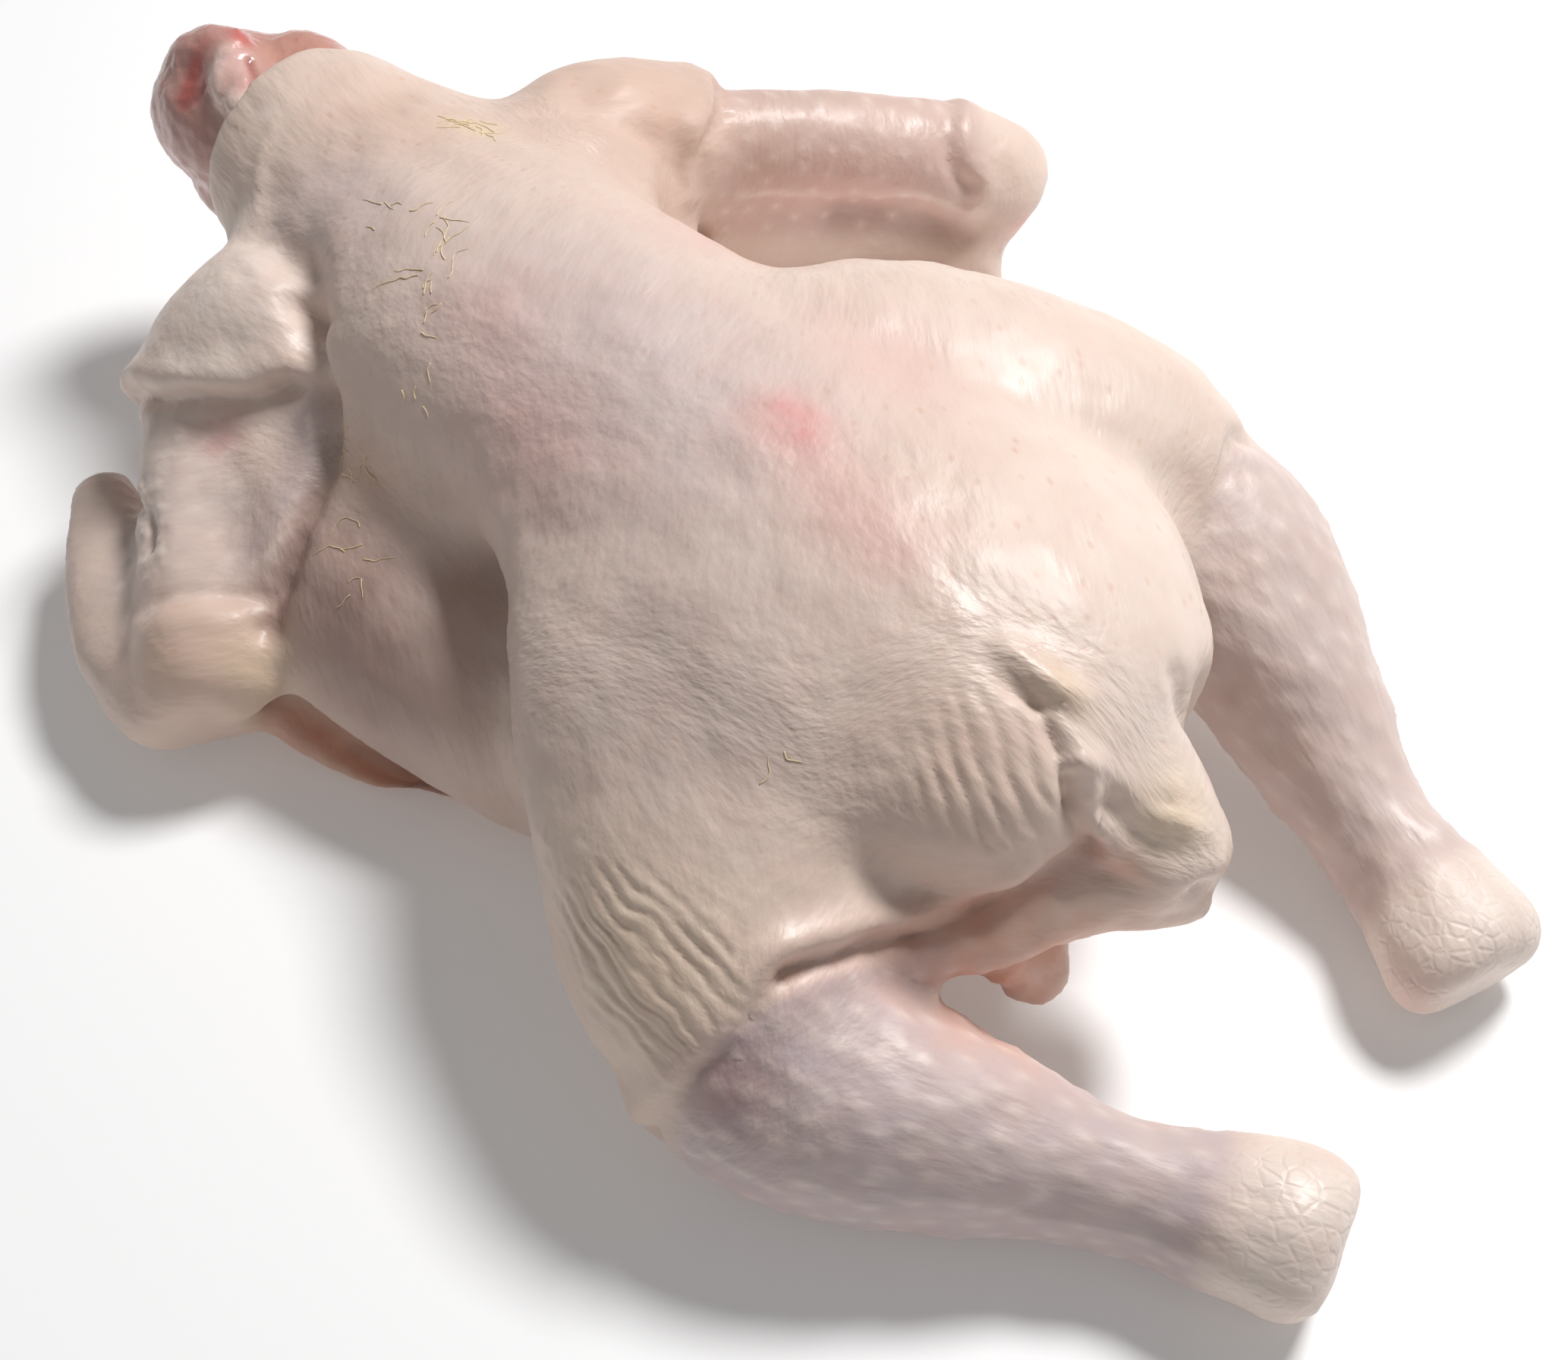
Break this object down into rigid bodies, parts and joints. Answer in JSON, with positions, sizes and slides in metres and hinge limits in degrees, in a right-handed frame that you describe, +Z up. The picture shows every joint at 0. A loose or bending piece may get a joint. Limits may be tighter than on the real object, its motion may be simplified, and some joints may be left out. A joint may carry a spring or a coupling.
{
  "type": "raw chicken",
  "caption": "Whole plucked raw chicken lying breast down with its back up, wings folded, legs stretched out behind and a skinned neck stub in a collar of skin.",
  "frame": {"origin": "centre of the bounding box, on the surface the bird lies on", "axes": "+X from the neck to the tail, +Y to the bird's right side, +Z up through its back"},
  "size_m": [0.407, 0.2948, 0.1069],
  "materials": {
    "skin": "moist, softly glossy raw poultry skin",
    "meat": "wet, glossy raw meat"
  },
  "bodies": {
    "root": {"carcass": "skin", "neck": "meat"}
  },
  "joints": []
}
